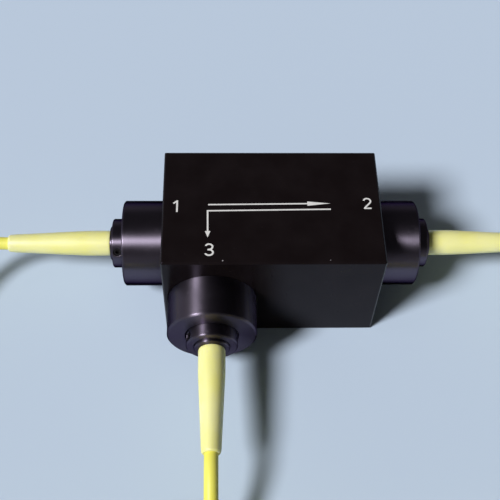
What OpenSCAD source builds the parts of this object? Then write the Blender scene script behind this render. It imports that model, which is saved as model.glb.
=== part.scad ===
// Three-port fibre optic circulator with pigtails. A machined block holds a polarising
// cube, a Faraday rotator and a half-wave plate on one optical axis. Three ports carry
// fibre collimators on tilt flanges under round covers, and each cable ends in a
// ferrule connector with a coupling nut. Sizes are in millimetres. The origin is the
// middle of the block's base, +Z is up, port 1 faces -X, port 2 +X and port 3 -Y.

/* [Block] */
// Length of the block from port 1 to port 2
block_w = 49; // [48:0.5:56]
// Depth of the block, front to back
block_d = 31; // [30:0.5:36]
// Height of the block
block_h = 28.8; // [28:0.2:34]
// Chamfer on every edge of the block
block_edge = 0.35; // [0.2:0.05:0.4]
// Height of the three port axes above the base
axis_h = 13.9; // [12.5:0.1:15]
// Distance of the front port's axis from the block's left end
front_inset = 11; // [11:0.1:13]
// Bore of the optical axes
bore_d = 9; // [8.8:0.1:9.4]

/* [Port covers] */
// Outer diameter of a cover
cover_d = 20; // [19.8:0.1:21]
// Length that a cover stands out of the block
cover_len = 9.5; // [9:0.1:12]
// Side wall of a cover
cover_wall = 1.2; // [0.9:0.05:1.3]
// End wall of a cover
cover_face = 1.5; // [1:0.1:2.5]
// Depth of the round seat that a cover stands in
cover_seat = 1; // [0.6:0.1:1.4]
// Chamfer on a cover's outer edge
cover_edge = 0.35; // [0.2:0.05:0.6]

/* [Tilt flanges] */
// Thickness of a tilt flange
flange_t = 3; // [2.6:0.1:3.4]
// Diameter of the hub outside the cover
hub_d = 11.5; // [11:0.1:12.5]
// Length of the hub outside the cover
hub_len = 2.7; // [2.5:0.1:3.5]
// Diameter of the neck between flange and hub
neck_d = 9.8; // [9.4:0.1:10.4]
// Chamfer on the hub's outer edge
hub_edge = 0.25; // [0.1:0.05:0.4]
// Section of the seal ring under a flange
seal_d = 1; // [0.9:0.05:1.1]
// Depth of the seal ring's groove
seal_groove = 0.3; // [0.2:0.05:0.4]
// Circle on which the tilt and lock screws stand
screw_circle_d = 13.8; // [13.6:0.1:14]
// Thread diameter of the tilt and lock screws
screw_d = 1.6; // [1.4:0.1:1.6]
// Head diameter of the tilt screws
screw_head_d = 3; // [2.6:0.1:3.2]
// Head height of the tilt screws
screw_head_h = 1.6; // [1.4:0.1:2]
// Length of a tilt screw's thread in the block
screw_grip = 3; // [2.5:0.1:4]
// Thread diameter of the set screw in a hub
hub_screw_d = 2; // [1.6:0.1:2]

/* [Collimators] */
// Outer diameter of a collimator tube
tube_d = 7.9; // [7.6:0.1:8.1]
// Length of a collimator tube inside the block
tube_in = 6; // [5:0.5:7]
// Length of the nose behind the hub
nose_len = 0.6; // [0.4:0.1:1.5]
// Diameter of a collimating lens
lens_d = 5; // [4.4:0.1:5.4]
// Thickness of a lens at its middle
lens_t = 2.2; // [2:0.1:2.6]
// Radius of a lens's curved face
lens_r = 5; // [4:0.1:9]
// Diameter of the ceramic ferrules
ferrule_d = 2.5; // [2.4:0.1:2.6]
// Length of a ferrule in a collimator
ferrule_len = 9; // [8:0.1:10]
// Outer diameter of a ferrule holder
holder_d = 5; // [4.6:0.1:5.4]
// Outer diameter of the crimp stems
stem_d = 4.2; // [4:0.1:4.4]
// Length of a ferrule holder's crimp stem
stem_len = 8; // [6:0.5:8]

/* [Boots] */
// Diameter of a boot at its root
boot_root_d = 5.9; // [5.6:0.1:6.6]
// Diameter of a boot at its tip
boot_tip_d = 4.1; // [3.8:0.1:4.6]
// Length of the straight part at a boot's root
boot_root_len = 4; // [2:0.5:6]
// Length of a port boot
boot_len = 24; // [20:0.5:28]

/* [Optics] */
// Side of the beam splitter cube
cube_side = 5; // [4:0.1:5.4]
// Length of the cube's cradle
cradle_len = 7; // [6.6:0.1:7.6]
// Length of the ring magnet
magnet_len = 16; // [12:0.5:17]
// Bore of the ring magnet
magnet_bore = 3.6; // [3.2:0.1:4.2]
// Diameter of the Faraday crystal
crystal_d = 2.5; // [2:0.1:2.7]
// Length of the Faraday crystal
crystal_len = 12; // [10:0.5:14]
// Diameter of the half-wave plate
plate_d = 6; // [5:0.1:7]
// Thickness of the half-wave plate
plate_t = 1; // [0.6:0.1:1.4]
// Length of the wave plate's cell
cell_len = 4; // [3:0.1:4.5]
// Clear aperture of the wave plate's cell
aperture_d = 4.4; // [3.6:0.1:4.6]

/* [Connectors] */
// Outer diameter of a coupling nut
nut_d = 9.8; // [9.4:0.1:10.4]
// Length of a coupling nut
nut_len = 11.5; // [11:0.1:12.5]
// Back wall of a coupling nut
nut_back = 2.2; // [1.5:0.1:2.5]
// Thread bore of a coupling nut
nut_bore = 7.3; // [7.2:0.1:7.8]
// Grooves in the grip of a coupling nut
nut_grooves = 28; // [20:2:36]
// Shoulder diameter of a connector body
shoulder_d = 8; // [7.4:0.1:8.6]
// Shoulder length of a connector body
shoulder_len = 4; // [3:0.1:5]
// Barrel diameter of a connector body
barrel_d = 6; // [5.6:0.1:6.2]
// Barrel length of a connector body
barrel_len = 10; // [9.4:0.1:10.4]
// Length of a ferrule outside the barrel
ferrule_out = 5; // [4:0.1:6]
// Diameter of the flange that holds a ferrule in its barrel
ferrule_flange_d = 4; // [3.8:0.1:4.2]
// Length of that flange
ferrule_flange_len = 3; // [2:0.5:4]
// Length of a connector's crimp stem
crimp_len = 12; // [10:0.5:14]
// Length of a connector's boot
tail_len = 26; // [22:0.5:28]

/* [Cables] */
// Diameter of the cable
cable_d = 3; // [2.9:0.1:3.1]
// Turns beside each other in a coil, and on each other
coil_turns = 3; // [2:1:4]
// Thickness of a coil's tie
tie_t = 0.5; // [0.4:0.1:0.6]
// Width of a coil's tie
tie_w = 3; // [2:0.1:4]

/* [Fits] */
// Radial gap of a cover in its seat
cover_fit = 0.05; // [0.02:0.01:0.1]
// Radial gap between hub and cover
hub_gap = 0.2; // [0.1:0.05:0.3]
// Radial gap between flange and cover
flange_gap = 0.3; // [0.2:0.05:0.35]
// Radial gap of tubes, ferrules and other turned slip fits
slip_fit = 0.02; // [0.01:0.01:0.04]
// Radial gap of threads, and of what is bonded in a bore
bond_fit = 0.04; // [0.02:0.01:0.06]
// Gap at round faces that rest on a flat one
touch = 0.02; // [0.01:0.01:0.04]
// Radial gap of the cable in boots
cable_fit = 0.05; // [0.03:0.01:0.1]
// Radial running gap of a coupling nut on its barrel
nut_fit = 0.08; // [0.05:0.01:0.1]
// Gap between a coil and what lies on it or goes round it
lay_gap = 0.15; // [0.1:0.05:0.25]
// Gap between the end of a cable and its crimp stem
end_gap = 0.2; // [0.1:0.05:0.5]
// Radial play of a tilt screw in its flange
screw_play = 0.15; // [0.1:0.05:0.2]
// Play of a coupling nut along its barrel
nut_float = 0.3; // [0.2:0.05:0.4]

/* [Hidden] */
$fn = 96;
// How far a cut runs past a face, and a joined shape into its neighbour
over = 1;
into = 0.5;

anodised = "#26222a";
steel = "#b8bbc0";
yellow = "#f2e84a";

// Ports: where the axis leaves the block, and the turn that points it outwards
port_at = [[-block_w / 2, 0, axis_h], [block_w / 2, 0, axis_h],
           [-block_w / 2 + front_inset, -block_d / 2, axis_h]];
port_turn = [-90, 90, 0];
port_out = [[-1, 0, 0], [1, 0, 0], [0, -1, 0]];
// Clock angle of each hub's set screw, seen from outside, from the right-hand side up
hub_screw_angle = [34, 20, 155];

// Places along a port's axis, measured outwards from the block's face
seat_z = -cover_seat;
seal_z = seat_z - seal_groove + seal_d / 2 + touch;
seal_wall = 0.2;
seal_r = bore_d / 2 + seal_wall + seal_d / 2;
flange_z = seal_z + seal_d / 2 + touch;
flange_top = flange_z + flange_t;
flange_r = cover_d / 2 - cover_wall - flange_gap;
hub_end = cover_len + hub_len;
hub_behind_cover = 0.8;
hub_start = cover_len - cover_face - hub_behind_cover;
hub_screw_z = cover_len + hub_len / 2;
screw_sunk = 0.3;
tube_end = hub_end + nose_len;
stem_end = tube_end + stem_len;
boot_end = tube_end + boot_len;
lens_recess = 0.4;
lens_seat = -tube_in + lens_recess + lens_t;
holder_z = 4.2;
ferrule_edge = 0.35;
fibre_hole = 1.2;

// Optics along X
cube_x = -block_w / 2 + front_inset;
cradle_gap = 2;
cell_gap = 1.5;
magnet_x = cube_x + cradle_len / 2 + cradle_gap;
cell_x = magnet_x + magnet_len + cell_gap;
optic_d = bore_d - 2 * bond_fit;
plate_sunk = 0.6;
plate_z = cell_len - plate_t - plate_sunk;

// Connectors, measured along their own axis from the boot's tail
shoulder_z = tail_len;
barrel_z = shoulder_z + shoulder_len;
barrel_end = barrel_z + barrel_len;
nut_z = barrel_z + nut_float;
collar_z = nut_z + nut_back + nut_float;
collar_d = barrel_d + 0.9;
collar_len = 1;
crimp_z = tail_len - crimp_len;

// Coils: middle of each, mean radius, and angle of the tie
coil_at = [[-52, -87], [52, -87], [6, -87]];
coil_r = 16.5;
tie_slack = 0.1;
coil_in = coil_r - coil_turns * cable_d / 2;
coil_out = coil_r + coil_turns * cable_d / 2;
coil_z = tie_t + tie_slack;
coil_top = coil_z + coil_turns * cable_d;
tie_angle = [0, 180, 190];
// A connector lies on the coils, with its tail at a place and turned along +X or -X
connector_z = coil_top + 2 * lay_gap + nut_d / 2;
connector_at = [[-51, -100.5], [51, -100.5], [3, -73.5]];
connector_way = [1, -1, -1];

// Straight stretches of a cable: out of its port's boot, and into its connector's boot
function leaving(p) = [for (s = [stem_end + end_gap, (stem_end + boot_end) / 2, boot_end, boot_end + cable_d])
    port_at[p] + s * port_out[p]];
function arriving(p) = [for (s = [-cable_d / 3, crimp_z / 2, crimp_z - end_gap])
    [connector_at[p][0] + s * connector_way[p], connector_at[p][1], connector_z]];

// Route of each cable from there to its coil, and from the coil to its connector
route_in = [
    [[-69.5, -1, 13.5], [-74, -4, 12.5], [-77, -8.5, 11], [-78, -14, 9], [-78, -22, 6.2],
     [-77.5, -30, 3.8], [-76.5, -38, 2.4], [-75, -46, 2.1], [-73.5, -54, 2.1], [-72.3, -62, 2.1],
     [-71.6, -70, 2.1], [-71.5, -78, 2.1]],
    [[69.5, -1, 13.5], [74, -4, 12.5], [77, -8.5, 11], [78, -14, 9], [78, -22, 6.2],
     [77.5, -30, 3.8], [76.5, -38, 2.4], [75, -46, 2.1], [73.5, -54, 2.1], [72.3, -62, 2.1],
     [71.6, -70, 2.1], [71.5, -78, 2.1]],
    [[-13.5, -59, 13.1], [-13.5, -63, 11.3], [-13.5, -67, 8.7], [-13.5, -71, 6],
     [-13.5, -75, 3.8], [-13.5, -79, 2.5], [-13.5, -83, 2.1]]];
route_out = [
    [[-63.5, -80.5, 8.7], [-65.5, -87, 10], [-63.5, -94, 12], [-59, -98.5, 13.7]],
    [[63.5, -80.5, 8.7], [65.5, -87, 10], [63.5, -94, 12], [59, -98.5, 13.7]],
    [[17.5, -93.5, 8.7], [19.5, -87, 10], [17.5, -80, 12], [13, -75.5, 13.7]]];

// Places and turns
module at_port(p) translate(port_at[p]) rotate([90, 0, port_turn[p]]) children();

module at_screws(offset) {
    for (a = [0:120:240]) rotate([0, 0, a + offset]) translate([screw_circle_d / 2, 0, 0]) children();
}

module at_connector(p)
    translate([connector_at[p][0], connector_at[p][1], connector_z])
        rotate([0, 90 * connector_way[p], 0]) children();

// Round shapes
module ring(outer_d, inner_d, height) difference() {
    cylinder(d = outer_d, h = height);
    translate([0, 0, -over]) cylinder(d = inner_d, h = height + 2 * over);
}

module turned(d, height, edge) rotate_extrude()
    polygon([[0, 0], [d / 2, 0], [d / 2, height - edge], [d / 2 - edge, height], [0, height]]);

module hex_socket(across, depth) translate([0, 0, -depth])
    cylinder(d = across / cos(30), h = depth + over, $fn = 6);

// A box with every edge chamfered: three prisms of the cut outline, crossed
function cut_outline(a, b, e) = [[-a + e, -b], [a - e, -b], [a, -b + e], [a, b - e],
                                 [a - e, b], [-a + e, b], [-a, b - e], [-a, -b + e]];

module chamfered_box(w, d, h, e) intersection() {
    translate([0, 0, -h / 2]) linear_extrude(h) polygon(cut_outline(w / 2, d / 2, e));
    rotate([90, 0, 0]) translate([0, 0, -d / 2]) linear_extrude(d) polygon(cut_outline(w / 2, h / 2, e));
    rotate([90, 0, 90]) translate([0, 0, -w / 2]) linear_extrude(w) polygon(cut_outline(d / 2, h / 2, e));
}

// A boot: straight at the root, then tapered. Its bore steps from crimp stem to cable
root_edge = 0.15;
tip_edge = 0.2;

module sleeve(length, bore_depth) rotate_extrude() polygon([
    [stem_d / 2 + cable_fit, 0], [boot_root_d / 2 - root_edge, 0], [boot_root_d / 2, root_edge],
    [boot_root_d / 2, boot_root_len], [boot_tip_d / 2, length - tip_edge],
    [boot_tip_d / 2 - tip_edge, length], [cable_d / 2 + cable_fit, length],
    [cable_d / 2 + cable_fit, bore_depth], [stem_d / 2 + cable_fit, bore_depth]]);

// A tube swept along a route, with eight flats
sides = 8;
function unit(v) = v / norm(v);
function heading(route, i) = unit(route[min(i + 1, len(route) - 1)] - route[max(i - 1, 0)]);
function ring_of(middle, along, r) = let (side = unit(cross(along, [0, 0, 1])), up = cross(side, along))
    [for (k = [0:sides - 1]) middle + r * (cos(k * 360 / sides) * side + sin(k * 360 / sides) * up)];

module swept(route, d) {
    last = len(route) - 1;
    points = [for (i = [0:last]) each ring_of(route[i], heading(route, i), d / 2)];
    walls = [for (i = [0:last - 1], k = [0:sides - 1])
        let (a = i * sides + k, b = i * sides + (k + 1) % sides)
        each [[a, b, b + sides], [a, b + sides, a + sides]]];
    caps = [[for (k = [sides - 1:-1:0]) k], [for (k = [0:sides - 1]) last * sides + k]];
    polyhedron(points, concat(walls, caps));
}

// Screws along Z, with the head's seat or the top at z = 0, and hex sockets in proportion
head_edge = 0.2;

module cap_screw(length) difference() {
    union() {
        turned(screw_head_d, screw_head_h, head_edge);
        translate([0, 0, -length]) cylinder(d = screw_d - 2 * bond_fit, h = length + into);
    }
    translate([0, 0, screw_head_h]) hex_socket(0.5 * screw_head_d, 0.5 * screw_head_h);
}

module set_screw(d, length) difference() {
    translate([0, 0, -length]) cylinder(d = d - 2 * bond_fit, h = length);
    hex_socket(0.5 * d, 0.5 * length);
}

// Block
module housing() color(anodised) difference() {
    translate([0, 0, block_h / 2]) chamfered_box(block_w, block_d, block_h, block_edge);
    translate([-block_w / 2 - over, 0, axis_h]) rotate([0, 90, 0])
        cylinder(d = bore_d, h = block_w + 2 * over);
    translate([cube_x, 0, axis_h]) rotate([90, 0, 0]) cylinder(d = bore_d, h = block_d / 2 + over);
    for (p = [0:2]) at_port(p) port_seat();
}

// Seat of a cover, groove of the seal ring and tapped holes of the tilt screws
module port_seat() {
    groove_w = seal_d + 2 * cover_fit;
    translate([0, 0, seat_z]) cylinder(d = cover_d + 2 * cover_fit, h = cover_seat + over);
    translate([0, 0, seat_z - seal_groove])
        ring(2 * seal_r + groove_w, 2 * seal_r - groove_w, seal_groove + into);
    translate([0, 0, seat_z - screw_grip - over]) at_screws(30)
        cylinder(d = screw_d, h = screw_grip + over + into);
}

// Ports
module port_cover() color(anodised) difference() {
    translate([0, 0, seat_z]) turned(cover_d, cover_len - seat_z, cover_edge);
    translate([0, 0, seat_z - over])
        cylinder(d = cover_d - 2 * cover_wall, h = cover_len - cover_face - seat_z + over);
    cylinder(d = hub_d + 2 * hub_gap, h = cover_len + over);
}

module tilt_flange(angle) color(anodised) difference() {
    union() {
        translate([0, 0, flange_z]) cylinder(r = flange_r, h = flange_t);
        translate([0, 0, flange_z]) cylinder(d = neck_d, h = hub_start - flange_z + into);
        translate([0, 0, hub_start]) turned(hub_d, hub_end - hub_start, hub_edge);
    }
    translate([0, 0, flange_z - over]) {
        cylinder(d = tube_d + 2 * slip_fit, h = hub_end - flange_z + 2 * over);
        at_screws(30) cylinder(d = screw_d + 2 * screw_play, h = flange_t + 2 * over);
        at_screws(90) cylinder(d = screw_d, h = flange_t + 2 * over);
    }
    at_hub_screw(angle) cylinder(d = hub_screw_d, h = hub_d);
}

// Turns Z into the hub screw's axis, starting inside the tube's bore
module at_hub_screw(angle) translate([0, 0, hub_screw_z]) rotate([0, 0, angle]) rotate([0, 90, 0])
    translate([0, 0, tube_d / 4]) children();

module seal_ring() color("#1b1b1d") translate([0, 0, seal_z]) rotate_extrude()
    translate([seal_r, 0]) circle(d = seal_d, $fn = 32);

module collimator_tube() color(anodised) rotate_extrude() polygon([
    [lens_d / 2 + slip_fit, -tube_in], [tube_d / 2, -tube_in],
    [tube_d / 2, tube_end - root_edge], [tube_d / 2 - root_edge, tube_end],
    [holder_d / 2 + slip_fit, tube_end], [holder_d / 2 + slip_fit, holder_z],
    [lens_d / 2 - lens_recess, holder_z], [lens_d / 2 - lens_recess, lens_seat],
    [lens_d / 2 + slip_fit, lens_seat]]);

// Plano-convex, with the flat face on its seat and the curved face towards the block
module lens() color("#dfe9f2") translate([0, 0, lens_seat - lens_t]) intersection() {
    cylinder(d = lens_d, h = lens_t);
    translate([0, 0, lens_r]) sphere(r = lens_r);
}

module ferrule() color("white") translate([0, 0, holder_z + ferrule_len / 2]) mirror([0, 0, 1])
    turned(ferrule_d, ferrule_len, ferrule_edge);

module ferrule_holder() color(steel) difference() {
    union() {
        translate([0, 0, holder_z]) cylinder(d = holder_d, h = tube_end - holder_z);
        translate([0, 0, tube_end - into]) cylinder(d = stem_d, h = stem_len + into);
    }
    translate([0, 0, holder_z - over])
        cylinder(d = ferrule_d + 2 * slip_fit, h = ferrule_len / 2 + over);
    cylinder(d = fibre_hole, h = stem_end + over);
}

module boot() color(yellow) translate([0, 0, tube_end]) sleeve(boot_len, stem_len + end_gap / 2);

module tilt_screws() color(steel) for (p = [0:2]) at_port(p)
    translate([0, 0, flange_top]) at_screws(30) cap_screw(flange_top - seat_z + screw_grip);

module lock_screws() color(steel) for (p = [0:2]) at_port(p)
    translate([0, 0, flange_top - screw_sunk]) at_screws(90)
        set_screw(screw_d, flange_top - screw_sunk - seat_z);

module hub_set_screws() color(steel) for (p = [0:2]) at_port(p) at_hub_screw(hub_screw_angle[p])
    translate([0, 0, hub_d / 2 - screw_sunk - tube_d / 4])
        set_screw(hub_screw_d, (hub_d - tube_d) / 2 - screw_sunk - touch);

// Optics. The cube splits along the plane that turns light from port 2 into port 3
module prism(corner) translate([cube_x, 0, axis_h - cube_side / 2]) linear_extrude(cube_side)
    polygon([[-cube_side / 2, -cube_side / 2], [cube_side / 2, cube_side / 2], corner * cube_side / 2]);

module prism_entry() color("#cfe0ea") prism([-1, 1]);

module prism_exit() color("#c3d6e2") prism([1, -1]);

module cube_cradle() color(steel) translate([cube_x, 0, axis_h]) difference() {
    translate([-cradle_len / 2, 0, 0]) rotate([0, 90, 0]) cylinder(d = optic_d, h = cradle_len);
    translate([-cradle_len, cube_side / 2 - bore_d, -cube_side / 2]) cube([2 * cradle_len, bore_d, bore_d]);
}

module along_x(x) translate([x, 0, axis_h]) rotate([0, 90, 0]) children();

module faraday_magnet() color("#8f9296") along_x(magnet_x) ring(optic_d, magnet_bore, magnet_len);

module crystal_sleeve() color("#b9935a") along_x(magnet_x)
    ring(magnet_bore - 2 * slip_fit, crystal_d + 2 * slip_fit, magnet_len);

module faraday_crystal() color("#3c6a4c") along_x(magnet_x + (magnet_len - crystal_len) / 2)
    cylinder(d = crystal_d, h = crystal_len);

module wave_plate_cell() color(anodised) along_x(cell_x) difference() {
    ring(optic_d, aperture_d, cell_len);
    translate([0, 0, plate_z]) cylinder(d = plate_d + 2 * slip_fit, h = cell_len);
}

module half_wave_plate() color("#dfe9f2") along_x(cell_x + plate_z) cylinder(d = plate_d, h = plate_t);

// Cables and what is on them
module cable(p) color(yellow) {
    swept(concat(leaving(p), route_in[p]), cable_d);
    swept(concat(route_out[p], arriving(p)), cable_d);
}

module coil(p) color(yellow) translate([coil_at[p][0], coil_at[p][1], coil_z])
    ring(2 * coil_out, 2 * coil_in, coil_top - coil_z);

// A band of tape in a loop round the coil's section
module coil_tie(p) color("#2a2a2c") translate([coil_at[p][0], coil_at[p][1], 0]) rotate([0, 0, tie_angle[p]])
    translate([0, tie_w / 2, 0]) rotate([90, 0, 0]) linear_extrude(tie_w) difference() {
        loop_w = coil_out - coil_in + 2 * lay_gap;
        translate([coil_in - lay_gap - tie_t, 0]) square([loop_w + 2 * tie_t, coil_top + lay_gap + tie_t]);
        translate([coil_in - lay_gap, tie_t]) square([loop_w, coil_top + lay_gap - tie_t]);
    }

module connector_boot() color(yellow) translate([0, 0, tail_len]) mirror([0, 0, 1])
    sleeve(tail_len, crimp_len + end_gap / 2);

// Crimp stem, shoulder with two flats, and the barrel with the nut's collar and the key
shoulder_flats = 0.88;
key = [0.75, 2, 4];
key_root = 0.4;

module connector_body() color(steel) difference() {
    union() {
        translate([0, 0, crimp_z]) cylinder(d = stem_d, h = crimp_len + into);
        translate([0, 0, shoulder_z]) intersection() {
            cylinder(d = shoulder_d, h = shoulder_len);
            translate([-shoulder_d / 2, -shoulder_d * shoulder_flats / 2, 0])
                cube([shoulder_d, shoulder_d * shoulder_flats, shoulder_len]);
        }
        translate([0, 0, barrel_z - into]) turned(barrel_d, barrel_len + into, head_edge);
        translate([0, 0, collar_z]) cylinder(d = collar_d, h = collar_len);
        translate([barrel_d / 2 - key_root, -key.y / 2, barrel_end - key.z - into]) cube(key);
    }
    translate([0, 0, barrel_z]) cylinder(d = ferrule_flange_d + 2 * slip_fit, h = barrel_len + over);
    translate([0, 0, crimp_z - over]) cylinder(d = fibre_hole, h = barrel_z - crimp_z + 2 * over);
}

module connector_ferrule() color("white") translate([0, 0, barrel_z]) {
    turned(ferrule_flange_d, ferrule_flange_len, head_edge);
    turned(ferrule_d, barrel_len + ferrule_out, ferrule_edge);
}

// Grip of a coupling nut: flat lands with a groove after each, between two plain rims
groove_depth = 0.35;
groove_angles = [0, 0.45, 0.725];
rim_len = 1.4;

function grip_outline(r, n) = [for (i = [0:n - 1], k = [0:2])
    let (a = 360 * (i + groove_angles[k]) / n, at = k == 2 ? r - groove_depth : r) at * [cos(a), sin(a)]];

module coupling_nut() color(steel) translate([0, 0, nut_z]) difference() {
    union() {
        turned(nut_d - 3 * groove_depth, nut_len, head_edge);
        translate([0, 0, rim_len]) linear_extrude(nut_len - 2.5 * rim_len)
            polygon(grip_outline(nut_d / 2, nut_grooves));
        translate([0, 0, nut_len - rim_len]) cylinder(d = nut_d - groove_depth, h = rim_len - head_edge);
    }
    translate([0, 0, -over]) cylinder(d = barrel_d + 2 * nut_fit, h = nut_len);
    translate([0, 0, nut_back]) cylinder(d = nut_bore, h = nut_len);
}

// What each node draws
housing();
tilt_screws();
lock_screws();
hub_set_screws();
prism_entry();
prism_exit();
cube_cradle();
faraday_magnet();
faraday_crystal();
crystal_sleeve();
half_wave_plate();
wave_plate_cell();
for (p = [0:2]) {
    at_port(p) port_cover();
    at_port(p) tilt_flange(hub_screw_angle[p]);
    at_port(p) seal_ring();
    at_port(p) collimator_tube();
    at_port(p) lens();
    at_port(p) ferrule();
    at_port(p) ferrule_holder();
    at_port(p) boot();
    cable(p);
    coil(p);
    coil_tie(p);
    at_connector(p) connector_boot();
    at_connector(p) connector_body();
    at_connector(p) connector_ferrule();
    at_connector(p) coupling_nut();
}
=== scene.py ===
"""Looks of the three-port fibre optic circulator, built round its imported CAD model.

Lengths are in millimetres and angles in degrees, as in the part's source. mm() turns
lengths into the metres of the meshes and textures."""

import math

import bmesh
import bpy
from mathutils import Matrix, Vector


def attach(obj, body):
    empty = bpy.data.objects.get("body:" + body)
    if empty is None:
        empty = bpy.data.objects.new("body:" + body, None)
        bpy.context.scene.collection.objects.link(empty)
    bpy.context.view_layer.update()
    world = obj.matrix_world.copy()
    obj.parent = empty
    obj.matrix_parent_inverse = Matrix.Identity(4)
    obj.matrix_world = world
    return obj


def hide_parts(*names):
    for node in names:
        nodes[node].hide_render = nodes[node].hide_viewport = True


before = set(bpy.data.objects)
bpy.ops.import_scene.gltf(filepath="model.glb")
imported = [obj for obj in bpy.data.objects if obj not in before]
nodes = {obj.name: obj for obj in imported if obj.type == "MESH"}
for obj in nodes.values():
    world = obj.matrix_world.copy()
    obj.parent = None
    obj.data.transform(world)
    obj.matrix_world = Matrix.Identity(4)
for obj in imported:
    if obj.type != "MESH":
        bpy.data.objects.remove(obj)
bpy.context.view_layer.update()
PORTS = (1, 2, 3)


def mm(*v):
    """One length, or a point given by its three coordinates, in metres."""
    return Vector(v) * 0.001 if len(v) > 1 else v[0] * 0.001


# The camera of the photograph
CAMERA_AT = (-10.697, -121.859, 192.466)
CAMERA_TURNED = (33.879, -1.259, -1.012)
SENSOR_W = 36
FOCAL_LENGTH = 65.70

cam_data = bpy.data.cameras.new("camera")
cam_data.sensor_width = SENSOR_W
cam_data.lens = FOCAL_LENGTH
cam_data.clip_start = mm(10)
cam = bpy.data.objects.new("camera", cam_data)
cam.location = mm(*CAMERA_AT)
cam.rotation_euler = [math.radians(a) for a in CAMERA_TURNED]
bpy.context.scene.collection.objects.link(cam)
bpy.context.scene.camera = cam


# Places in the plan, for each port: where its axis leaves the block and which way, the
# middle of its cable's coil, and the tip of its connector's boot and the way from there
PORT_AT = {1: (-24.5, 0), 2: (24.5, 0), 3: (-13.5, -15.5)}
PORT_OUT = {1: (-1, 0), 2: (1, 0), 3: (0, -1)}
COIL_AT = {1: (-52, -87), 2: (52, -87), 3: (6, -87)}
CONNECTOR_AT = {1: (-51, -100.5), 2: (51, -100.5), 3: (3, -73.5)}
CONNECTOR_WAY = {1: 1, 2: -1, 3: -1}
# Heights of the ports' and the connectors' axes
AXIS_H = 13.9
CONNECTOR_Z = 14.8


def mirrored(points):
    return [(-x, y, z) for x, y, z in points]


# Cables. Their routes repeat the source's points: straight out of the port, down to the
# floor, round the coil, up again and straight into the connector. The straight points are
# given by their distance from the block and from the tip of the connector's boot
CABLE_D = 3.0
CABLE_SIDES = 16
LEAVING = (21.0, 28.8, 36.8, 39.8)
ENTERING = (-1.0, 7.0, 13.8)
DOWN_1 = [
    (-69.5, -1, 13.5), (-74, -4, 12.5), (-77, -8.5, 11), (-78, -14, 9), (-78, -22, 6.2),
    (-77.5, -30, 3.8), (-76.5, -38, 2.4), (-75, -46, 2.1), (-73.5, -54, 2.1),
    (-72.3, -62, 2.1), (-71.6, -70, 2.1), (-71.5, -78, 2.1)]
DOWN_3 = [
    (-13.5, -59, 13.1), (-13.5, -63, 11.3), (-13.5, -67, 8.7), (-13.5, -71, 6),
    (-13.5, -75, 3.8), (-13.5, -79, 2.5), (-13.5, -83, 2.1)]
UP_1 = [(-63.5, -80.5, 8.7), (-65.5, -87, 10), (-63.5, -94, 12), (-59, -98.5, 13.7)]
UP_3 = [(17.5, -93.5, 8.7), (19.5, -87, 10), (17.5, -80, 12), (13, -75.5, 13.7)]
ROUTE_DOWN = {1: DOWN_1, 2: mirrored(DOWN_1), 3: DOWN_3}
ROUTE_UP = {1: UP_1, 2: mirrored(UP_1), 3: UP_3}

# Coils: radii of the three columns of turns, heights of the three layers, how far each coil
# is wound, and the angle between its points. The winding goes up the outer column, down the
# middle one and up the inner one, through these places, each a column and a layer. A step
# from one place to the next is the angle at which it starts and the angle that it takes
COLUMNS = (19.5, 16.5, 13.5)
LAYERS = (2.1, 5.1, 8.1)
COIL_TURNED = {1: 2835, 2: 2835, 3: 3015}
COIL_STEP = 15
PLACES = [(0, 0), (0, 1), (0, 2), (1, 2), (1, 1), (1, 0), (2, 0), (2, 1), (2, 2)]
STEPS = [
    (300, 50), (660, 50), (930, 90), (1228, 62), (1588, 62), (1780, 168), (2048, 92),
    (2408, 92)]

# Each gap between the points of a path is cut into this many parts
CABLE_PARTS = 3
TIE_PARTS = 2


def ease(t):
    t = min(max(t, 0), 1)
    return t * t * (3 - 2 * t)


def winding(turned):
    """Radius and height of the cable's middle after turning by that angle."""
    r, z = COLUMNS[0], LAYERS[0]
    for (at, long), (c0, l0), (c1, l1) in zip(STEPS, PLACES, PLACES[1:]):
        k = ease((turned - at) / long)
        r += k * (COLUMNS[c1] - COLUMNS[c0])
        z += k * (LAYERS[l1] - LAYERS[l0])
    return r, z


def coil_points(p):
    """The coil's turns, anticlockwise from its left end; coil 2 is the mirror of coil 1."""
    x, y = COIL_AT[p]
    way = -1 if p == 2 else 1
    points = []
    for turned in range(0, COIL_TURNED[p] + COIL_STEP, COIL_STEP):
        r, z = winding(turned)
        a = math.radians(180 + turned)
        points.append((x + way * r * math.cos(a), y + r * math.sin(a), z))
    return points


def cable_route(p):
    """All points of a cable's route, in metres."""
    (x, y), (u, v) = PORT_AT[p], PORT_OUT[p]
    leaving = [(x + s * u, y + s * v, AXIS_H) for s in LEAVING]
    (x, y), way = CONNECTOR_AT[p], CONNECTOR_WAY[p]
    entering = [(x + s * way, y, CONNECTOR_Z) for s in ENTERING]
    route = leaving + ROUTE_DOWN[p] + coil_points(p) + ROUTE_UP[p] + entering
    return [mm(*q) for q in route]


def fine_path(points, parts):
    """A smooth curve through the points, each gap cut into that many parts."""
    ends = [2 * points[0] - points[1], *points, 2 * points[-1] - points[-2]]
    path = []
    for a, b, c, d in zip(ends, ends[1:], ends[2:], ends[3:]):
        # Tangents that allow for uneven gaps, so that the curve doesn't overshoot
        ab, bc, cd = (b - a).length, (c - b).length, (d - c).length
        m1 = (c - b) + bc * ((b - a) / ab - (c - a) / (ab + bc))
        m2 = (c - b) + bc * ((d - c) / cd - (d - b) / (bc + cd))
        for i in range(parts):
            u = i / parts
            path.append((2 * u ** 3 - 3 * u ** 2 + 1) * b + (u ** 3 - 2 * u ** 2 + u) * m1
                        + (3 * u ** 2 - 2 * u ** 3) * c + (u ** 3 - u ** 2) * m2)
    return path + [points[-1]]


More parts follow.
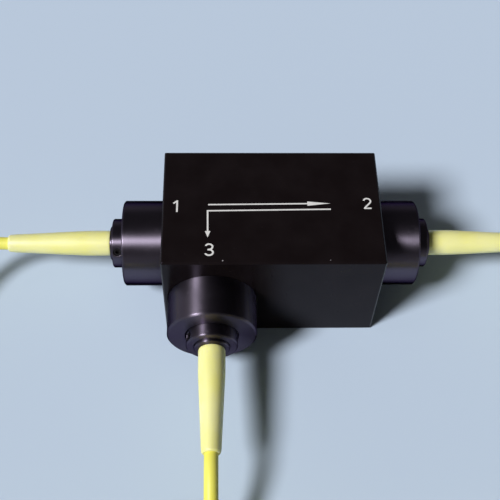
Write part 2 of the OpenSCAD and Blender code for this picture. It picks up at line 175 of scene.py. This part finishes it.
def arc(x, y, rx, ry, start, end, steps=12):
    """Points on an ellipse's arc round (x, y), both ends included."""
    angles = [math.radians(start + (end - start) * i / steps) for i in range(steps + 1)]
    return [(x + rx * math.cos(a), y + ry * math.sin(a)) for a in angles]


def sweep(bm, path, section, side=None, widths=None):
    """Sweeps a closed section, points (across, up), along a path. With side, across keeps
    that direction; otherwise it turns no more than the path does. widths scales across."""
    rings = []
    across = side or Vector((0, 0, 1)).cross(path[1] - path[0]).normalized()
    for i, q in enumerate(path):
        way = (path[min(i + 1, len(path) - 1)] - path[max(i - 1, 0)]).normalized()
        across = (across - way * across.dot(way)).normalized()
        up = way.cross(across)
        wide = widths[i] if widths else 1
        rings.append([bm.verts.new(q + across * u * wide + up * v) for u, v in section])
    n = len(section)
    for low, high in zip(rings, rings[1:]):
        for j in range(n):
            k = (j + 1) % n
            bm.faces.new((low[j], low[k], high[k], high[j])).smooth = True
    bm.faces.new(rings[0][::-1])
    bm.faces.new(rings[-1])


def mesh_object(bm, name):
    bmesh.ops.recalc_face_normals(bm, faces=bm.faces)
    mesh = bpy.data.meshes.new(name)
    bm.to_mesh(mesh)
    bm.free()
    o = bpy.data.objects.new(name, mesh)
    bpy.context.scene.collection.objects.link(o)
    return o


# Ties: a strap of hook-and-loop tape round each coil's section, its free end laid over its
# own start. Each stands at an angle on its coil, and its path is in the plane through the
# coil's middle, as (radius, height)
TIE_ANGLE = {1: 0, 2: 180, 3: 190}
TIE_IN, TIE_OUT = 11.6, 21.4
TIE_LOW, TIE_HIGH = 0.31, 10.0
TIE_BEND = 1.85
TIE_BEND_STEPS = 6
TIE_START = [(15.3, TIE_HIGH), (17.4, TIE_HIGH)]
TIE_UNDER = [(19, TIE_LOW), (16.5, TIE_LOW), (14, TIE_LOW)]
TIE_END = [
    (14.3, 10.22), (15.2, 10.50), (16.8, 10.52), (18.4, 10.53), (19.3, 10.58), (19.9, 10.68),
    (20.3, 10.78)]
# The strap's section, in shares of half its width and half its thickness: this side and
# the same turned round. Its tip narrows to the last of these shares of its width
TIE_HALF_W, TIE_HALF_T = 1.5, 0.23
TIE_SIDE = [(1, -0.4), (1, 0.4), (0.93, 1), (0.6, 1), (0, 1.1), (-0.6, 1), (-0.93, 1)]
TIE_TIP = [0.97, 0.85, 0.55]


def tie_path(p):
    """The strap's path, in metres, and the direction across the strap."""
    low, high = TIE_LOW + TIE_BEND, TIE_HIGH - TIE_BEND
    near, far = TIE_IN + TIE_BEND, TIE_OUT - TIE_BEND
    middle = (low + high) / 2

    def bend(r, z, start):
        return arc(r, z, TIE_BEND, TIE_BEND, start, start - 90, TIE_BEND_STEPS)

    loop = (TIE_START + bend(far, high, 90) + [(TIE_OUT, middle)] + bend(far, low, 0) + TIE_UNDER
            + bend(near, low, -90) + [(TIE_IN, middle)] + bend(near, high, 180) + TIE_END)
    (x, y), a = COIL_AT[p], math.radians(TIE_ANGLE[p])
    points = [mm(x + r * math.cos(a), y + r * math.sin(a), z) for r, z in loop]
    return fine_path(points, TIE_PARTS), Vector((-math.sin(a), math.cos(a), 0))


def tie(p):
    path, side = tie_path(p)
    half = [(u * mm(TIE_HALF_W), v * mm(TIE_HALF_T)) for u, v in TIE_SIDE]
    section = half + [(-u, -v) for u, v in half]
    bm = bmesh.new()
    sweep(bm, path, section, side, [1] * (len(path) - len(TIE_TIP)) + TIE_TIP)
    o = mesh_object(bm, f"hook_and_loop_tie_{p}")
    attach(o, "root")
    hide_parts(f"coil_tie_{p}")
    return o


# Boots: moulded sleeves with soft edges and the fine seam of a two-part mould. Distances
# run from the root's end. Past the root a knee leads into the taper, and the bore steps
# from the crimp stem to the cable
ROOT_R, TIP_R = 2.95, 2.05
ROOT_LEN = 4.0
KNEE = 3.0
STEM_BORE, CABLE_BORE = 2.15, 1.55
SOFT_EDGE = 0.35
SEAM_HIGH = 0.045
SEAM_HALF = 1.2
BOOT_STEP = 7.5
BOOT_RINGS = (1, 2.5, 4, 5, 6, 7, 9, 12, 15, 18, 21)
BEFORE_TIP = 1.5
# Length of a boot and depth of its bore for the stem, at the ports and at the connectors,
# and the distance from the block to the root of a port's boot
BOOT_LEN, BOOT_BORE = 24.0, 8.1
TAIL_LEN, TAIL_BORE = 26.0, 12.1
TUBE_END = 12.8


def boot_profile(length, depth):
    """Points (radius, distance) round a boot's wall, outside first, how many of them are
    outside, and how far the seam lifts each of them."""
    def outside(z):
        s = max(0.0, z - ROOT_LEN)
        s = s * s / (2 * KNEE) if s < KNEE else s - KNEE / 2
        return ROOT_R - (ROOT_R - TIP_R) * s / (length - ROOT_LEN - KNEE / 2)

    e = SOFT_EDGE
    outer = arc(outside(0) - e, e, e, e, -90, 0, 4)
    outer += [(outside(z), z) for z in (*BOOT_RINGS, length - BEFORE_TIP)]
    outer += arc(outside(length) - e, length - 2 * e, e, 2 * e, 0, 90, 6)
    bore = [(CABLE_BORE, length), (CABLE_BORE, depth), (STEM_BORE, depth), (STEM_BORE, 0)]
    lifts = [0, 0] + [SEAM_HIGH] * (len(outer) - 4) + [0, 0] + [0] * len(bore)
    return outer + bore, len(outer), lifts


def boot(name, node, root, way, length, depth):
    """A boot in the place of a node. Its root is at the point root and it points along way."""
    profile, outer_count, lifts = boot_profile(length, depth)
    turns = [BOOT_STEP * i for i in range(round(360 / BOOT_STEP))]
    turns += [SEAM_HALF, 180 - SEAM_HALF, 180 + SEAM_HALF, 360 - SEAM_HALF]
    along = Vector(way)
    across = Vector((0, 0, 1)).cross(along)
    bm = bmesh.new()
    rings = []
    for a in sorted(turns):
        out = across * math.cos(math.radians(a)) + Vector((0, 0, math.sin(math.radians(a))))
        lifted = 1 if a in (0, 180) else 0
        rings.append([bm.verts.new(mm(*(Vector(root) + along * z + out * (r + lifted * lift))))
                      for (r, z), lift in zip(profile, lifts)])
    for low, high in zip(rings, rings[1:] + rings[:1]):
        for j in range(len(low)):
            k = (j + 1) % len(low)
            bm.faces.new((low[j], low[k], high[k], high[j])).smooth = j < outer_count - 1
    o = mesh_object(bm, name)
    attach(o, "root")
    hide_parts(node)
    return o


def port_boot(p):
    (x, y), (u, v) = PORT_AT[p], PORT_OUT[p]
    root = (x + TUBE_END * u, y + TUBE_END * v, AXIS_H)
    return boot(f"port_boot_{p}", f"boot_{p}", root, (u, v, 0), BOOT_LEN, BOOT_BORE)


def connector_boot(p):
    (x, y), way = CONNECTOR_AT[p], CONNECTOR_WAY[p]
    root = (x + TAIL_LEN * way, y, CONNECTOR_Z)
    return boot(f"tail_boot_{p}", f"connector_boot_{p}", root, (-way, 0, 0), TAIL_LEN, TAIL_BORE)


def cable(p):
    path = fine_path(cable_route(p), CABLE_PARTS)
    r = mm(CABLE_D / 2)
    turns = [2 * math.pi * i / CABLE_SIDES for i in range(CABLE_SIDES)]
    bm = bmesh.new()
    sweep(bm, path, [(r * math.cos(a), r * math.sin(a)) for a in turns])
    o = mesh_object(bm, f"fibre_cable_{p}")
    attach(o, "root")
    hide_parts(f"cable_{p}", f"coil_{p}")
    return o


ties = {p: tie(p) for p in PORTS}
port_boots = {p: port_boot(p) for p in PORTS}
connector_boots = {p: connector_boot(p) for p in PORTS}
cables = {p: cable(p) for p in PORTS}


# Materials. Every texture is laid out in the model's own frame
QUARTER_TURN = 0.25


class Graph:
    """A material's node tree, with the few nodes that these materials are made from. Where
    a value is asked for, it is a number, a vector, a colour or another node's output."""

    def __init__(self, name, colour, rough, metal=0.0, specular=0.5):
        self.material = bpy.data.materials.new(name)
        self.material.use_nodes = True
        self.tree = self.material.node_tree
        self.shader = self.tree.nodes["Principled BSDF"]
        self.set("Base Color", colour)
        self.set("Roughness", rough)
        self.set("Metallic", metal)
        self.set("Specular IOR Level", specular)
        self.place = self.node("ShaderNodeTexCoord").outputs["Object"]

    def feed(self, socket, value):
        if isinstance(value, bpy.types.NodeSocket):
            self.tree.links.new(value, socket)
        elif socket.type == "RGBA":
            socket.default_value = (*value, 1)
        else:
            socket.default_value = value

    def set(self, name, value):
        self.feed(self.shader.inputs[name], value)

    def node(self, kind, **settings):
        n = self.tree.nodes.new(kind)
        for key, value in settings.items():
            setattr(n, key, value)
        return n

    def calc(self, operation, *values, clamp=False):
        n = self.node("ShaderNodeMath", operation=operation, use_clamp=clamp)
        for socket, value in zip(n.inputs, values):
            self.feed(socket, value)
        return n.outputs[0]

    def vector(self, operation, *values):
        n = self.node("ShaderNodeVectorMath", operation=operation)
        for socket, value in zip(n.inputs, values):
            self.feed(socket, value)
        number = operation in ("LENGTH", "DOT_PRODUCT", "DISTANCE")
        return n.outputs["Value" if number else "Vector"]

    def noise(self, size, detail, stretch=None, along=None):
        """Noise from 0 to 1 with features of about that size. It fills space, or runs along
        a coordinate in metres where one is given."""
        n = self.node("ShaderNodeTexNoise", noise_dimensions="1D" if along else "3D")
        self.feed(n.inputs["Scale"], 1 / mm(size))
        self.feed(n.inputs["Detail"], detail)
        if along:
            self.feed(n.inputs["W"], along)
        else:
            place = self.vector("MULTIPLY", self.place, stretch) if stretch else self.place
            self.feed(n.inputs["Vector"], place)
        return n.outputs[0]

    def ramp(self, value, low, high, to_low, to_high):
        """A value's range from low to high laid onto another range, which it doesn't leave."""
        n = self.node("ShaderNodeMapRange")
        names = ("Value", "From Min", "From Max", "To Min", "To Max")
        for name, v in zip(names, (value, low, high, to_low, to_high)):
            self.feed(n.inputs[name], v)
        return n.outputs["Result"]

    def mix(self, share, a, b):
        """Colour a, turned into colour b by that share."""
        n = self.node("ShaderNodeMix", data_type="RGBA")
        for i, value in zip((0, 6, 7), (share, a, b)):
            self.feed(n.inputs[i], value)
        return n.outputs[2]

    def bump(self, *layers, edge=None):
        """Each layer is (height from 0 to 1, depth); they add up. With edge, every sharp
        edge looks rounded to that radius."""
        normal = None
        if edge:
            n = self.node("ShaderNodeBevel", samples=6)
            self.feed(n.inputs["Radius"], mm(edge))
            normal = n.outputs["Normal"]
        for height, depth in layers:
            n = self.node("ShaderNodeBump")
            self.feed(n.inputs["Strength"], 1)
            self.feed(n.inputs["Distance"], mm(depth))
            self.feed(n.inputs["Height"], height)
            if normal:
                self.feed(n.inputs["Normal"], normal)
            normal = n.outputs["Normal"]
        self.set("Normal", normal)

    def lathe(self, axis, point, size, detail, stretched):
        """Noise in rings, as a tool leaves them on a part turned about the line through point
        along axis. Its highlights are stretched across the rings."""
        from_point = self.vector("SUBTRACT", self.place, point)
        along = self.vector("DOT_PRODUCT", from_point, axis)
        flat = tuple(1 - abs(a) for a in axis)
        out = self.vector("MULTIPLY", from_point, flat)
        turning = self.vector("NORMALIZE", self.vector("CROSS_PRODUCT", axis, out))
        self.set("Tangent", turning)
        self.set("Anisotropic", stretched)
        self.set("Anisotropic Rotation", QUARTER_TURN)
        ring = self.calc("ADD", along, self.vector("LENGTH", out))
        return self.noise(size, detail, along=ring)


# Black anodising. Milled faces reflect little. On turned ones the metal shines through the
# dyed skin, in the second pair of colours, but hardly at glancing angles
BLACK = (0.0070, 0.0048, 0.0052)
WORN_BLACK = (0.0095, 0.0068, 0.0074)
TURNED = (0.12, 0.103, 0.137)
WORN_TURNED = (0.132, 0.113, 0.150)
VIOLET = (0.80, 0.70, 1.0)
GLANCING = (0.08, 0.07, 0.10)
BARE = (0.42, 0.40, 0.42)
ROUNDED_EDGE = 0.35


def anodised(name, lathe=None, nicks=()):
    """Satin black anodised aluminium: fine grain, tool rings where it was turned, and nicks
    down to the bare metal, each given by its place and radius."""
    plain, worn = (TURNED, WORN_TURNED) if lathe else (BLACK, WORN_BLACK)
    base = 0.36 if lathe else 0.20
    g = Graph(name, plain, base, metal=1.0 if lathe else 0.0, specular=0.10)
    g.set("Specular Tint", GLANCING if lathe else VIOLET)
    patches = g.noise(6, 3)
    grain = g.noise(0.12, 2)
    scuffs = g.noise(1.1, 6)
    colour = g.mix(g.ramp(patches, 0.35, 0.7, 0, 1), plain, worn)
    rough = g.ramp(patches, 0.3, 0.7, base - 0.03, base + 0.03)
    rough = g.calc("ADD", rough, g.ramp(scuffs, 0.60, 0.75, 0, 0.12))
    if lathe:
        rings = g.lathe(*lathe, size=0.09, detail=3, stretched=0.85)
        rough = g.calc("ADD", rough, g.ramp(rings, 0.38, 0.62, -0.05, 0.07))
        layers = [(grain, 0.0012), (rings, 0.0015)]
    else:
        mill_marks = g.noise(0.35, 2, stretch=(0.04, 1, 1))
        layers = [(grain, 0.004), (mill_marks, 0.003)]
    for x, y, z, radius in nicks:
        away = g.vector("DISTANCE", g.place, mm(x, y, z))
        ragged = g.calc("MULTIPLY", g.calc("SUBTRACT", grain, 0.5), mm(0.2))
        away = g.calc("ADD", away, ragged)
        colour = g.mix(g.ramp(away, mm(0.7 * radius), mm(radius), 1, 0), colour, BARE)
    g.set("Base Color", colour)
    g.set("Roughness", rough)
    g.bump(*layers, edge=ROUNDED_EDGE)
    return g.material


def metal(name, colour, rough, lathe=None):
    """Bright metal with fine scratches, a few duller patches and its tool rings."""
    g = Graph(name, colour, rough, metal=1.0)
    patches = g.noise(3, 3)
    scratches = g.noise(0.25, 3, stretch=(0.08, 1, 1))
    dull = tuple(0.86 * c for c in colour)
    g.set("Base Color", g.mix(g.ramp(patches, 0.4, 0.7, 0, 1), colour, dull))
    varied = g.ramp(patches, 0.3, 0.7, rough - 0.04, rough + 0.08)
    varied = g.calc("ADD", varied, g.ramp(scratches, 0.62, 0.7, 0, 0.075))
    layers = [(scratches, 0.001)]
    if lathe:
        rings = g.lathe(*lathe, size=0.08, detail=2, stretched=0.6)
        varied = g.calc("ADD", varied, g.ramp(rings, 0.4, 0.7, -0.04, 0.05))
        layers.append((rings, 0.003))
    g.set("Roughness", varied)
    g.bump(*layers)
    return g.material


DUST = (0.80, 0.78, 0.62)


def plastic(name, colour, deep, rough, specular, soft, grain, coat):
    """Yellow plastic: a slow drift between two colours, dust, a fine skin of that grain's
    depth, a soft share that lets a little light in, and a dull coat."""
    g = Graph(name, colour, rough, specular=specular)
    drift = g.noise(8, 3)
    skin = g.noise(0.22, 3)
    dust = g.noise(0.9, 5)
    drifted = g.mix(g.ramp(drift, 0.35, 0.68, 0, 1), colour, deep)
    g.set("Base Color", g.mix(g.ramp(dust, 0.68, 0.78, 0, 0.25), drifted, DUST))
    g.set("Roughness", g.calc("ADD", g.ramp(drift, 0.3, 0.7, rough - 0.05, rough + 0.06),
                              g.ramp(skin, 0.45, 0.65, 0, 0.07)))
    g.bump((skin, grain), (g.noise(1.6, 2), 0.02))
    g.set("Subsurface Weight", soft)
    g.set("Subsurface Radius", (1.0, 1.0, 0.15))
    g.set("Subsurface Scale", mm(1))
    g.set("Coat Weight", coat)
    g.set("Coat Roughness", 0.55)
    return g.material


def rubber(name, colour, rough):
    """Rubber with a fine skin and a pale bloom in places."""
    g = Graph(name, colour, rough, specular=0.3)
    skin = g.noise(0.15, 3)
    bloom = g.noise(2, 4)
    pale = tuple(c + 0.03 for c in colour)
    g.set("Base Color", g.mix(g.ramp(bloom, 0.5, 0.75, 0, 0.6), colour, pale))
    g.set("Roughness", g.ramp(bloom, 0.3, 0.7, rough - 0.06, rough + 0.08))
    g.bump((skin, 0.008))
    return g.material


def fabric(name, colour):
    """Hook-and-loop tape: tiny loops, side by side, with a fuzzy sheen. Each loop's raised top is
    painted paler, a painted highlight, and the gaps between the loops darker, painted shade.
    """
    g = Graph(name, colour, 0.85, specular=0.2)
    cells = g.node("ShaderNodeTexVoronoi")
    g.feed(cells.inputs["Scale"], 1 / mm(0.28))
    g.feed(cells.inputs["Vector"], g.place)
    from_loop = cells.outputs["Distance"]
    fuzz = g.noise(0.2, 4)
    pale = tuple(2.2 * c for c in colour)
    # Painted highlight and painted shade: the loop tops are made paler and the gaps between the
    # loops darker
    g.set("Base Color", g.mix(g.ramp(from_loop, 0.1, 0.7, 0, 1), pale, colour))
    g.set("Roughness", g.ramp(fuzz, 0.3, 0.7, 0.75, 0.95))
    g.bump((g.calc("SUBTRACT", 1.0, from_loop), 0.06), (fuzz, 0.02))
    g.set("Sheen Weight", 0.25)
    g.set("Sheen Roughness", 0.4)
    return g.material


def glass(name, colour, ior, haze_rough):
    """Polished glass or crystal. A faint haze makes it that rough in places."""
    g = Graph(name, colour, 0.01)
    g.set("Transmission Weight", 1.0)
    g.set("IOR", ior)
    haze = g.noise(0.8, 3)
    g.set("Roughness", g.ramp(haze, 0.4, 0.75, 0.01, haze_rough))
    g.bump((haze, 0.0004))
    return g.material


def zirconia(name, colour, deep):
    """Polished white ceramic, slightly cloudy."""
    g = Graph(name, colour, 0.18)
    clouds = g.noise(0.9, 3)
    g.set("Base Color", g.mix(g.ramp(clouds, 0.4, 0.7, 0, 1), colour, deep))
    g.set("Roughness", g.ramp(clouds, 0.3, 0.7, 0.14, 0.22))
    g.bump((g.noise(0.1, 2), 0.001))
    g.set("Subsurface Weight", 0.15)
    g.set("Subsurface Radius", (1.0, 0.9, 0.8))
    g.set("Subsurface Scale", mm(0.6))
    g.set("Coat Weight", 0.3)
    g.set("Coat Roughness", 0.08)
    return g.material


def laser_mark(name, colour, thin_colour):
    """Laser marking: a whitened skin made of overlapping dots, thinner here and there."""
    g = Graph(name, colour, 0.65, specular=0.2)
    dots = g.noise(0.10, 2)
    wear = g.noise(1.2, 4)
    gaps = g.ramp(dots, 0.35, 0.6, 1, 0.2)
    thin = g.calc("MULTIPLY", gaps, g.ramp(wear, 0.4, 0.75, 0.25, 1.0), clamp=True)
    g.set("Base Color", g.mix(g.calc("MULTIPLY", thin, 0.45), colour, thin_colour))
    g.set("Roughness", g.ramp(dots, 0.3, 0.7, 0.55, 0.75))
    g.bump((dots, 0.006))
    return g.material


def put(material, *names):
    """Gives a material to all surfaces of those nodes."""
    for name in names:
        for slot in nodes[name].material_slots:
            slot.material = material


def each(*stems):
    """The nodes that are named after one of the stems and a port."""
    return [f"{stem}_{p}" for stem in stems for p in PORTS]


# Axes that parts were turned about, as (direction, point)
ALONG_X, ALONG_Y = (1, 0, 0), (0, 1, 0)
SIDE_AXIS = (ALONG_X, mm(0, 0, AXIS_H))
FRONT_AXIS = (ALONG_Y, mm(PORT_AT[3][0], 0, AXIS_H))
# Nicks near the block's top edges, as (x, y, z, radius)
NICKS = [(-11.06, -14.75, 28.75, 0.17), (12.15, -14.70, 28.75, 0.10), (24.35, 9.0, 28.7, 0.16)]
STEEL = (0.60, 0.59, 0.57)
NICKEL = (0.66, 0.64, 0.60)

put(anodised("anodised_block", nicks=NICKS), "housing")
turned_x = anodised("anodised_turned_x", SIDE_AXIS)
turned_y = anodised("anodised_turned_y", FRONT_AXIS)
for p, material in zip(PORTS, (turned_x, turned_x, turned_y)):
    put(material, f"port_cover_{p}", f"tilt_flange_{p}", f"collimator_tube_{p}")
put(turned_x, "wave_plate_cell")

steel_x = metal("turned_steel_x", STEEL, 0.28, SIDE_AXIS)
put(steel_x, "ferrule_holder_1", "ferrule_holder_2", "cube_cradle")
put(metal("turned_steel_y", STEEL, 0.28, FRONT_AXIS), "ferrule_holder_3")
oxide = metal("black_oxide", (0.055, 0.052, 0.055), 0.36)
put(oxide, "tilt_screws", "lock_screws", "hub_set_screws")
put(metal("magnet_plating", (0.50, 0.49, 0.47), 0.22, SIDE_AXIS), "faraday_magnet")
put(metal("sleeve_brass", (0.72, 0.52, 0.22), 0.30, SIDE_AXIS), "crystal_sleeve")
for p in PORTS:
    connector_axis = (ALONG_X, mm(0, CONNECTOR_AT[p][1], CONNECTOR_Z))
    nickel = metal(f"nickel_plating_{p}", NICKEL, 0.20, connector_axis)
    put(nickel, f"connector_body_{p}", f"coupling_nut_{p}")

put(rubber("seal_rubber", (0.012, 0.012, 0.013), 0.6), *each("seal_ring"))
optical_glass = glass("optical_glass", (1.0, 1.0, 1.0), 1.52, 0.05)
put(optical_glass, *each("lens"), "prism_entry", "prism_exit", "half_wave_plate")
put(glass("garnet_crystal", (0.30, 0.75, 0.35), 1.95, 0.07), "faraday_crystal")
ceramic = zirconia("zirconia", (0.86, 0.85, 0.81), (0.80, 0.79, 0.74))
put(ceramic, *each("ferrule", "connector_ferrule"))

boot_plastic = plastic("boot_plastic", (0.91, 0.88, 0.40), (0.89, 0.85, 0.28), rough=0.45,
                       specular=0.7, soft=0.5, grain=0.006, coat=0.8)
jacket = plastic("cable_jacket", (0.86, 0.82, 0.16), (0.82, 0.76, 0.10), rough=0.42,
                 specular=0.4, soft=0.1, grain=0.01, coat=0.0)
hook_and_loop = fabric("hook_and_loop", (0.010, 0.010, 0.011))
for p in PORTS:
    port_boots[p].data.materials.append(boot_plastic)
    connector_boots[p].data.materials.append(boot_plastic)
    cables[p].data.materials.append(jacket)
    ties[p].data.materials.append(hook_and_loop)


# Marks on the block's top: the two light paths, each given by its points and the length of
# its arrowhead, and the number of each port
TOP = 28.8
MARK_T = 0.012
MARK_LINE = 0.36
HEAD_HALF = 0.6
LIGHT_PATHS = [
    ([(-14.3, 0.2), (7.9, 0.45)], 5.2),
    ([(13.1, -1.1), (-14.4, -1.5), (-14.35, -7.0)], 1.7)]
# Outline of each numeral, one unit tall and standing on its base line, the point of it that
# is set on the numeral's place, and each place with the numeral's height
NUMERALS = {
    1: [(0.30, 0), (0.42, 0), (0.42, 1.0), (0.33, 1.0), (0.06, 0.78), (0.14, 0.69), (0.30, 0.83)],
    2: (arc(0.30, 0.70, 0.31, 0.30, 170, -40)
        + [(0.19, 0.12), (0.57, 0.12), (0.57, 0), (0.03, 0), (0.03, 0.12)]
        + arc(0.30, 0.70, 0.19, 0.18, -40, 170)),
    3: (arc(0.28, 0.73, 0.29, 0.27, 160, -50) + arc(0.28, 0.28, 0.32, 0.28, 53, -160)
        + arc(0.28, 0.28, 0.20, 0.16, -160, 90) + [(0.18, 0.44), (0.18, 0.56)]
        + arc(0.28, 0.73, 0.17, 0.15, -85, 160)),
}
NUMERAL_MIDDLE = (0.3, 0.5)
NUMERAL_AT = {1: (-21.4, -0.2, 3.2), 2: (21.4, 0.5, 3.1), 3: (-13.95, -11.9, 3.3)}


def arrow(points, head_len):
    """Outline of a line through the points, mitred at its corners, with a head at its end."""
    points = [Vector(q) for q in points]
    ways = [(b - a).normalized() for a, b in zip(points, points[1:])]
    left, right = [], []
    for q, before, after in zip(points, [ways[0]] + ways, ways + [ways[-1]]):
        way = (before + after).normalized()
        across = Vector((-way.y, way.x))
        reach = MARK_LINE / 2 / across.dot(Vector((-after.y, after.x)))
        left.append(q + across * reach)
        right.append(q - across * reach)
    end, way = points[-1], ways[-1]
    side = Vector((-way.y, way.x)) * HEAD_HALF
    return left + [end + side, end + way * head_len, end - side] + right[::-1]


def mark(name, outlines, material):
    """A piece of marking: a thin plate on the block's top for each outline."""
    bm = bmesh.new()
    for outline in outlines:
        low = [bm.verts.new(mm(x, y, TOP)) for x, y in outline]
        high = [bm.verts.new(mm(x, y, TOP + MARK_T)) for x, y in outline]
        bm.faces.new(low[::-1])
        bm.faces.new(high)
        for j in range(len(low)):
            k = (j + 1) % len(low)
            bm.faces.new((low[j], low[k], high[k], high[j]))
    o = mesh_object(bm, name)
    o.data.materials.append(material)
    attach(o, "root")


def numeral(p):
    """Outline of a port's number in its place."""
    (u0, v0), (x, y, tall) = NUMERAL_MIDDLE, NUMERAL_AT[p]
    return [(x + tall * (u - u0), y + tall * (v - v0)) for u, v in NUMERALS[p]]


mark_white = laser_mark("laser_mark", (0.76, 0.75, 0.74), (0.28, 0.26, 0.27))
mark("light_path_marks", [arrow(*path) for path in LIGHT_PATHS], mark_white)
for p in PORTS:
    mark(f"port_number_{p}", [numeral(p)], mark_white)


# Floor and light. The floor is a square, given by half its side in metres
FLOOR_HALF = 10.0
FLOOR_COLOUR = (0.52, 0.62, 0.76)


def floor():
    mesh = bpy.data.meshes.new("floor")
    bm = bmesh.new()
    bmesh.ops.create_grid(bm, x_segments=1, y_segments=1, size=FLOOR_HALF)
    bm.to_mesh(mesh)
    bm.free()
    o = bpy.data.objects.new("floor", mesh)
    bpy.context.scene.collection.objects.link(o)
    mesh.materials.append(Graph("floor", FLOOR_COLOUR, 0.9, specular=0.1).material)


def sun(name, direction, strength, width):
    """A far, soft lamp that lights floor and object evenly; width is its angle in the sky."""
    data = bpy.data.lights.new(name, "SUN")
    data.energy = strength
    data.angle = math.radians(width)
    o = bpy.data.objects.new(name, data)
    o.rotation_euler = Vector(direction).to_track_quat("Z", "Y").to_euler()
    bpy.context.scene.collection.objects.link(o)


# The studio's brightness changes between these heights and between these sides. Both are
# coordinates of the unit vector towards a point of its walls or ceiling
SKY_HEIGHTS = (0.20, 0.55)
SKY_SIDES = (-0.7, 0.7)


def surroundings(overhead, horizon, left, right):
    """A studio with a ceiling darker than its walls. left and right scale it on the lamp's
    side and on the far side."""
    world = bpy.data.worlds.new("world")
    bpy.context.scene.world = world
    world.use_nodes = True
    tree = world.node_tree
    sky = tree.nodes.new("ShaderNodeSeparateXYZ")
    tree.links.new(tree.nodes.new("ShaderNodeTexCoord").outputs["Generated"], sky.inputs[0])
    strength = tree.nodes.new("ShaderNodeMath")
    strength.operation = "MULTIPLY"
    blends = (("Z", (*SKY_HEIGHTS, horizon, overhead)), ("X", (*SKY_SIDES, left, right)))
    for target, (axis, values) in zip(strength.inputs, blends):
        n = tree.nodes.new("ShaderNodeMapRange")
        n.interpolation_type = "SMOOTHSTEP"
        tree.links.new(sky.outputs[axis], n.inputs["Value"])
        for name, v in zip(("From Min", "From Max", "To Min", "To Max"), values):
            n.inputs[name].default_value = v
        tree.links.new(n.outputs["Result"], target)
    background = tree.nodes["Background"]
    background.inputs["Color"].default_value = (1, 1, 1, 1)
    tree.links.new(strength.outputs[0], background.inputs["Strength"])


floor()
sun("key", direction=(-0.60, -0.37, 0.71), strength=3.8, width=15)
surroundings(overhead=0.07, horizon=0.30, left=1.2, right=0.2)

bpy.context.scene.view_settings.view_transform = "Standard"
